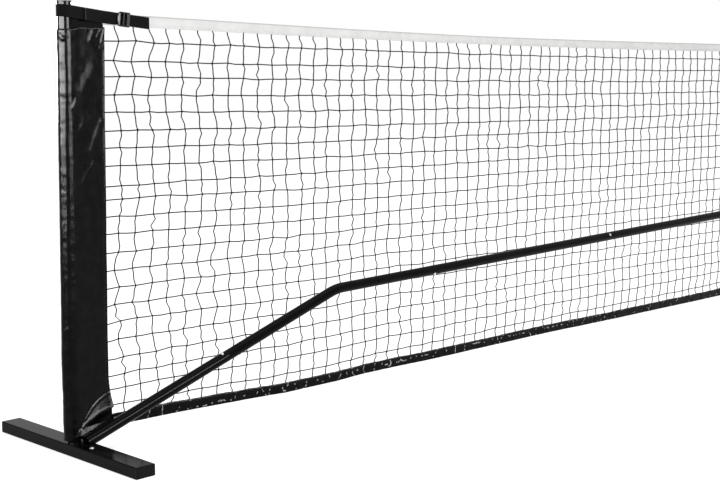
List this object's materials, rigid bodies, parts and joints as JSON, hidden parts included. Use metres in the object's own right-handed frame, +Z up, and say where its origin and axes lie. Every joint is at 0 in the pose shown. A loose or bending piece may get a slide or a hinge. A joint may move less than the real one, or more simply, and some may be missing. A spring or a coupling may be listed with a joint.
{
  "type": "portable net",
  "caption": "Portable pickleball net: mesh net with a white top tape held between two sleeved uprights on a sectional bent-tube frame with bar feet.",
  "frame": {"origin": "on the ground under the middle of the net", "axes": "+X along the net, +Y towards the net's back, away from the frame tubes, +Z up"},
  "size_m": [6.754, 0.495, 0.946],
  "materials": {
    "black_powder_coat": "gloss black powder coat",
    "zinc_steel": "zinc plated",
    "black_plastic": "fine moulded grain",
    "black_rubber": "matte",
    "black_coated_fabric": "glossy coated cloth",
    "black_webbing": "woven webbing",
    "black_netting": "knotted twine",
    "white_tape": "coated white tape"
  },
  "bodies": {
    "frame": {"left_foot": "black_powder_coat", "left_spigot": "black_powder_coat", "left_backing_plate": "zinc_steel", "left_base_arm": "black_powder_coat", "left_elbow_tube": "black_powder_coat", "left_outer_tube": "black_powder_coat", "left_inner_tube": "black_powder_coat", "left_hub_tube": "black_powder_coat", "left_connectors": "zinc_steel", "left_spring_a": "zinc_steel", "left_spring_b": "zinc_steel", "left_spring_c": "zinc_steel", "left_spring_d": "zinc_steel", "right_foot": "black_powder_coat", "right_spigot": "black_powder_coat", "right_backing_plate": "zinc_steel", "right_base_arm": "black_powder_coat", "right_elbow_tube": "black_powder_coat", "right_outer_tube": "black_powder_coat", "right_inner_tube": "black_powder_coat", "right_hub_tube": "black_powder_coat", "right_connectors": "zinc_steel", "right_spring_a": "zinc_steel", "right_spring_b": "zinc_steel", "right_spring_c": "zinc_steel", "right_spring_d": "zinc_steel", "foot_caps": "black_plastic", "foot_bolts": "zinc_steel", "connector_rivets": "black_powder_coat", "hub": "black_plastic", "hub_screws": "zinc_steel", "centre_leg": "black_powder_coat", "leg_tip": "black_rubber"},
    "net": {"net_mesh": "black_netting", "top_tape": "white_tape", "bottom_tape": "black_coated_fabric", "corner_eyelets": "zinc_steel", "left_upright": "black_powder_coat", "left_upright_cap": "black_plastic", "left_sleeve": "black_coated_fabric", "left_strap": "black_webbing", "right_upright": "black_powder_coat", "right_upright_cap": "black_plastic", "right_sleeve": "black_coated_fabric", "right_strap": "black_webbing"},
    "left_buckle_body": {"left_buckle": "black_plastic"},
    "left_button_a_body": {"left_button_a": "zinc_steel"},
    "left_button_b_body": {"left_button_b": "zinc_steel"},
    "left_button_c_body": {"left_button_c": "zinc_steel"},
    "left_button_d_body": {"left_button_d": "zinc_steel"},
    "right_buckle_body": {"right_buckle": "black_plastic"},
    "right_button_a_body": {"right_button_a": "zinc_steel"},
    "right_button_b_body": {"right_button_b": "zinc_steel"},
    "right_button_c_body": {"right_button_c": "zinc_steel"},
    "right_button_d_body": {"right_button_d": "zinc_steel"}
  },
  "joints": [
    {"name": "net_lift_off", "type": "slide", "parent": "frame", "child": "net", "axis": [0, 0, 1], "range_m": [0, 0.12]},
    {"name": "left_buckle_tilt", "type": "hinge", "parent": "net", "child": "left_buckle_body", "pos_m": [-3.19584, -0.0054, 0.90832], "axis": [0.1028, 0, 0.9947], "range_deg": [0, 35]},
    {"name": "left_button_a_press", "type": "slide", "parent": "frame", "child": "left_button_a_body", "axis": [0.2985, 0.2588, -0.9187], "range_m": [0, 0.0035], "stiffness_N_per_m": 600, "springref_m": -0.002, "deforming": ["left_spring_a"]},
    {"name": "left_button_b_press", "type": "slide", "parent": "frame", "child": "left_button_b_body", "axis": [-0.0133, 0.7071, 0.707], "range_m": [0, 0.0035], "stiffness_N_per_m": 600, "springref_m": -0.002, "deforming": ["left_spring_b"]},
    {"name": "left_button_c_press", "type": "slide", "parent": "frame", "child": "left_button_c_body", "axis": [0.0094, 0.866, -0.4999], "range_m": [0, 0.0035], "stiffness_N_per_m": 600, "springref_m": -0.002, "deforming": ["left_spring_c"]},
    {"name": "left_button_d_press", "type": "slide", "parent": "frame", "child": "left_button_d_body", "axis": [0.0094, 0.866, -0.4999], "range_m": [0, 0.0035], "stiffness_N_per_m": 600, "springref_m": -0.002, "deforming": ["left_spring_d"]},
    {"name": "right_buckle_tilt", "type": "hinge", "parent": "net", "child": "right_buckle_body", "pos_m": [3.19584, -0.0054, 0.90832], "axis": [0.1028, 0, -0.9947], "range_deg": [0, 35]},
    {"name": "right_button_a_press", "type": "slide", "parent": "frame", "child": "right_button_a_body", "axis": [-0.2985, 0.2588, -0.9187], "range_m": [0, 0.0035], "stiffness_N_per_m": 600, "springref_m": -0.002, "deforming": ["right_spring_a"]},
    {"name": "right_button_b_press", "type": "slide", "parent": "frame", "child": "right_button_b_body", "axis": [0.0133, 0.7071, 0.707], "range_m": [0, 0.0035], "stiffness_N_per_m": 600, "springref_m": -0.002, "deforming": ["right_spring_b"]},
    {"name": "right_button_c_press", "type": "slide", "parent": "frame", "child": "right_button_c_body", "axis": [-0.0094, 0.866, -0.4999], "range_m": [0, 0.0035], "stiffness_N_per_m": 600, "springref_m": -0.002, "deforming": ["right_spring_c"]},
    {"name": "right_button_d_press", "type": "slide", "parent": "frame", "child": "right_button_d_body", "axis": [-0.0094, 0.866, -0.4999], "range_m": [0, 0.0035], "stiffness_N_per_m": 600, "springref_m": -0.002, "deforming": ["right_spring_d"]}
  ]
}
